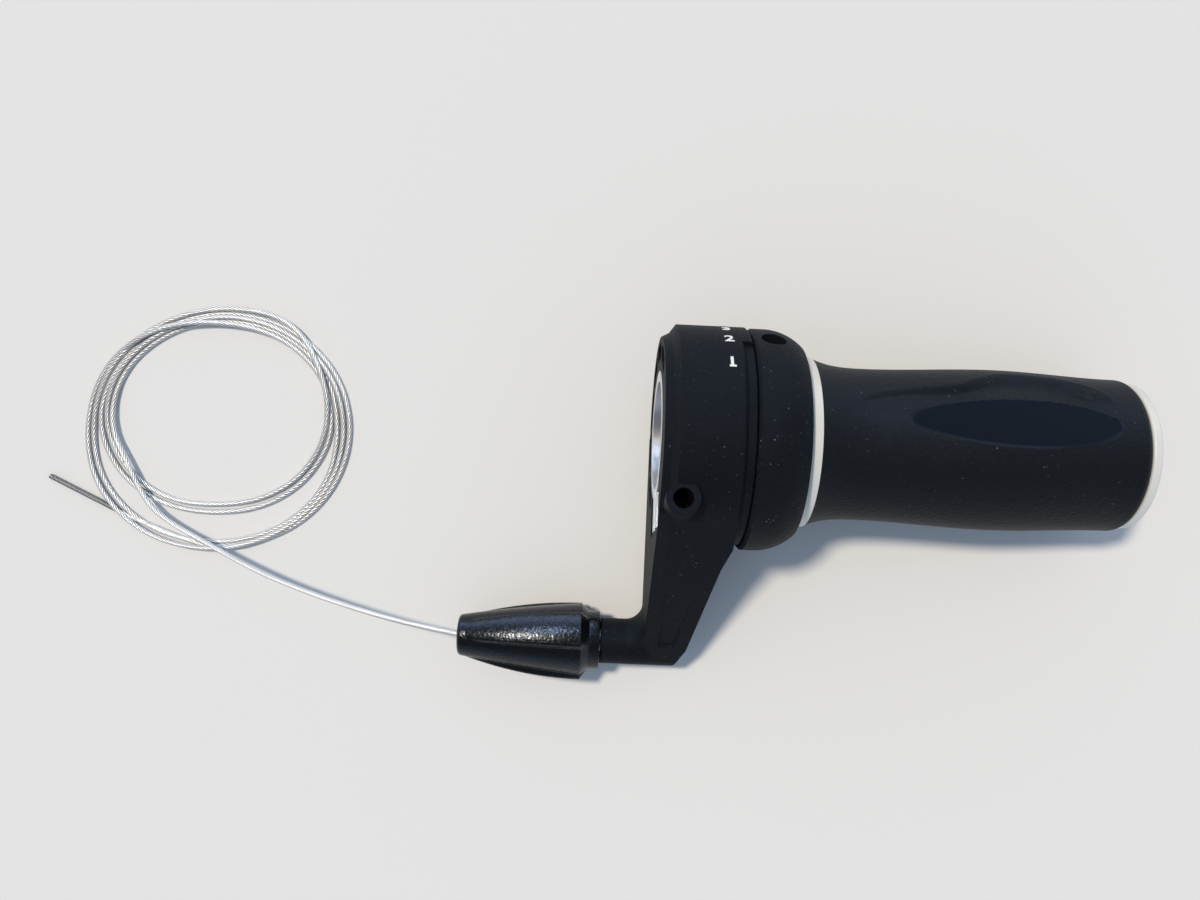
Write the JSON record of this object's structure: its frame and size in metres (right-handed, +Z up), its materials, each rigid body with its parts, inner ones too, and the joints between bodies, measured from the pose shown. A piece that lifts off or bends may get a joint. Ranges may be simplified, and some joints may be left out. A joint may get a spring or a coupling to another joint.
{
  "type": "twist grip shifter",
  "caption": "Handlebar twist grip gear shifter with a number band, an arm with a barrel adjuster, a rubber grip and a loose coil of stranded shift wire.",
  "frame": {"origin": "centre of the handlebar bore at the inboard face", "axes": "+Z up from the table, +X outboard along the bar in plan, +Y away from the arm; the bar axis slopes down outboard as the shifter lies at rest"},
  "size_m": [0.2455, 0.0811, 0.0473],
  "materials": {
    "black_plastic": "fine moulded grain, satin",
    "white_plastic": "satin",
    "liner_plastic": "smooth",
    "rubber": "fine leather grain",
    "aluminium": "machined",
    "steel": "bright zinc",
    "spring_steel": "bright",
    "wire": "bright stranded wire"
  },
  "bodies": {
    "fixed": {"housing": "black_plastic", "clamp_band": "aluminium", "clamp_screw": "steel", "clamp_nut": "steel", "thrust_washer": "liner_plastic", "detent_spring": "spring_steel", "cable_liner": "liner_plastic", "cable_run": "wire", "adjuster_spring": "spring_steel", "cable_lead": "wire", "cable_coil": "wire", "cable_tail": "wire"},
    "grip": {"drum": "white_plastic", "cable_head": "steel", "cable_wrap": "wire", "spool_cover": "black_plastic", "collar_ring": "white_plastic", "grip_sleeve": "rubber", "end_ring": "white_plastic"},
    "adjuster_slider": {"adjuster_collar": "liner_plastic"},
    "adjuster": {"adjuster_barrel": "black_plastic", "adjuster_screw": "aluminium"}
  },
  "joints": [
    {"name": "grip_twist", "type": "hinge", "parent": "fixed", "child": "grip", "pos_m": [0, 0, 0], "axis": [-0.9953, 0, 0.0971], "range_deg": [-19, 95], "deforming": ["detent_spring"]},
    {"name": "adjuster_travel", "type": "slide", "parent": "fixed", "child": "adjuster_slider", "axis": [-0.9953, 0, 0.0971], "range_m": [0, 0.0033]},
    {"name": "adjuster_turn", "type": "hinge", "parent": "adjuster_slider", "child": "adjuster", "pos_m": [-0.02159, -0.0462, -0.01528], "axis": [-0.9953, 0, 0.0971], "range_deg": [0, 1440]}
  ],
  "couplings": [
    {"joint": "adjuster_travel", "follows": "adjuster_turn", "m_per_rad": 0.00012732}
  ]
}
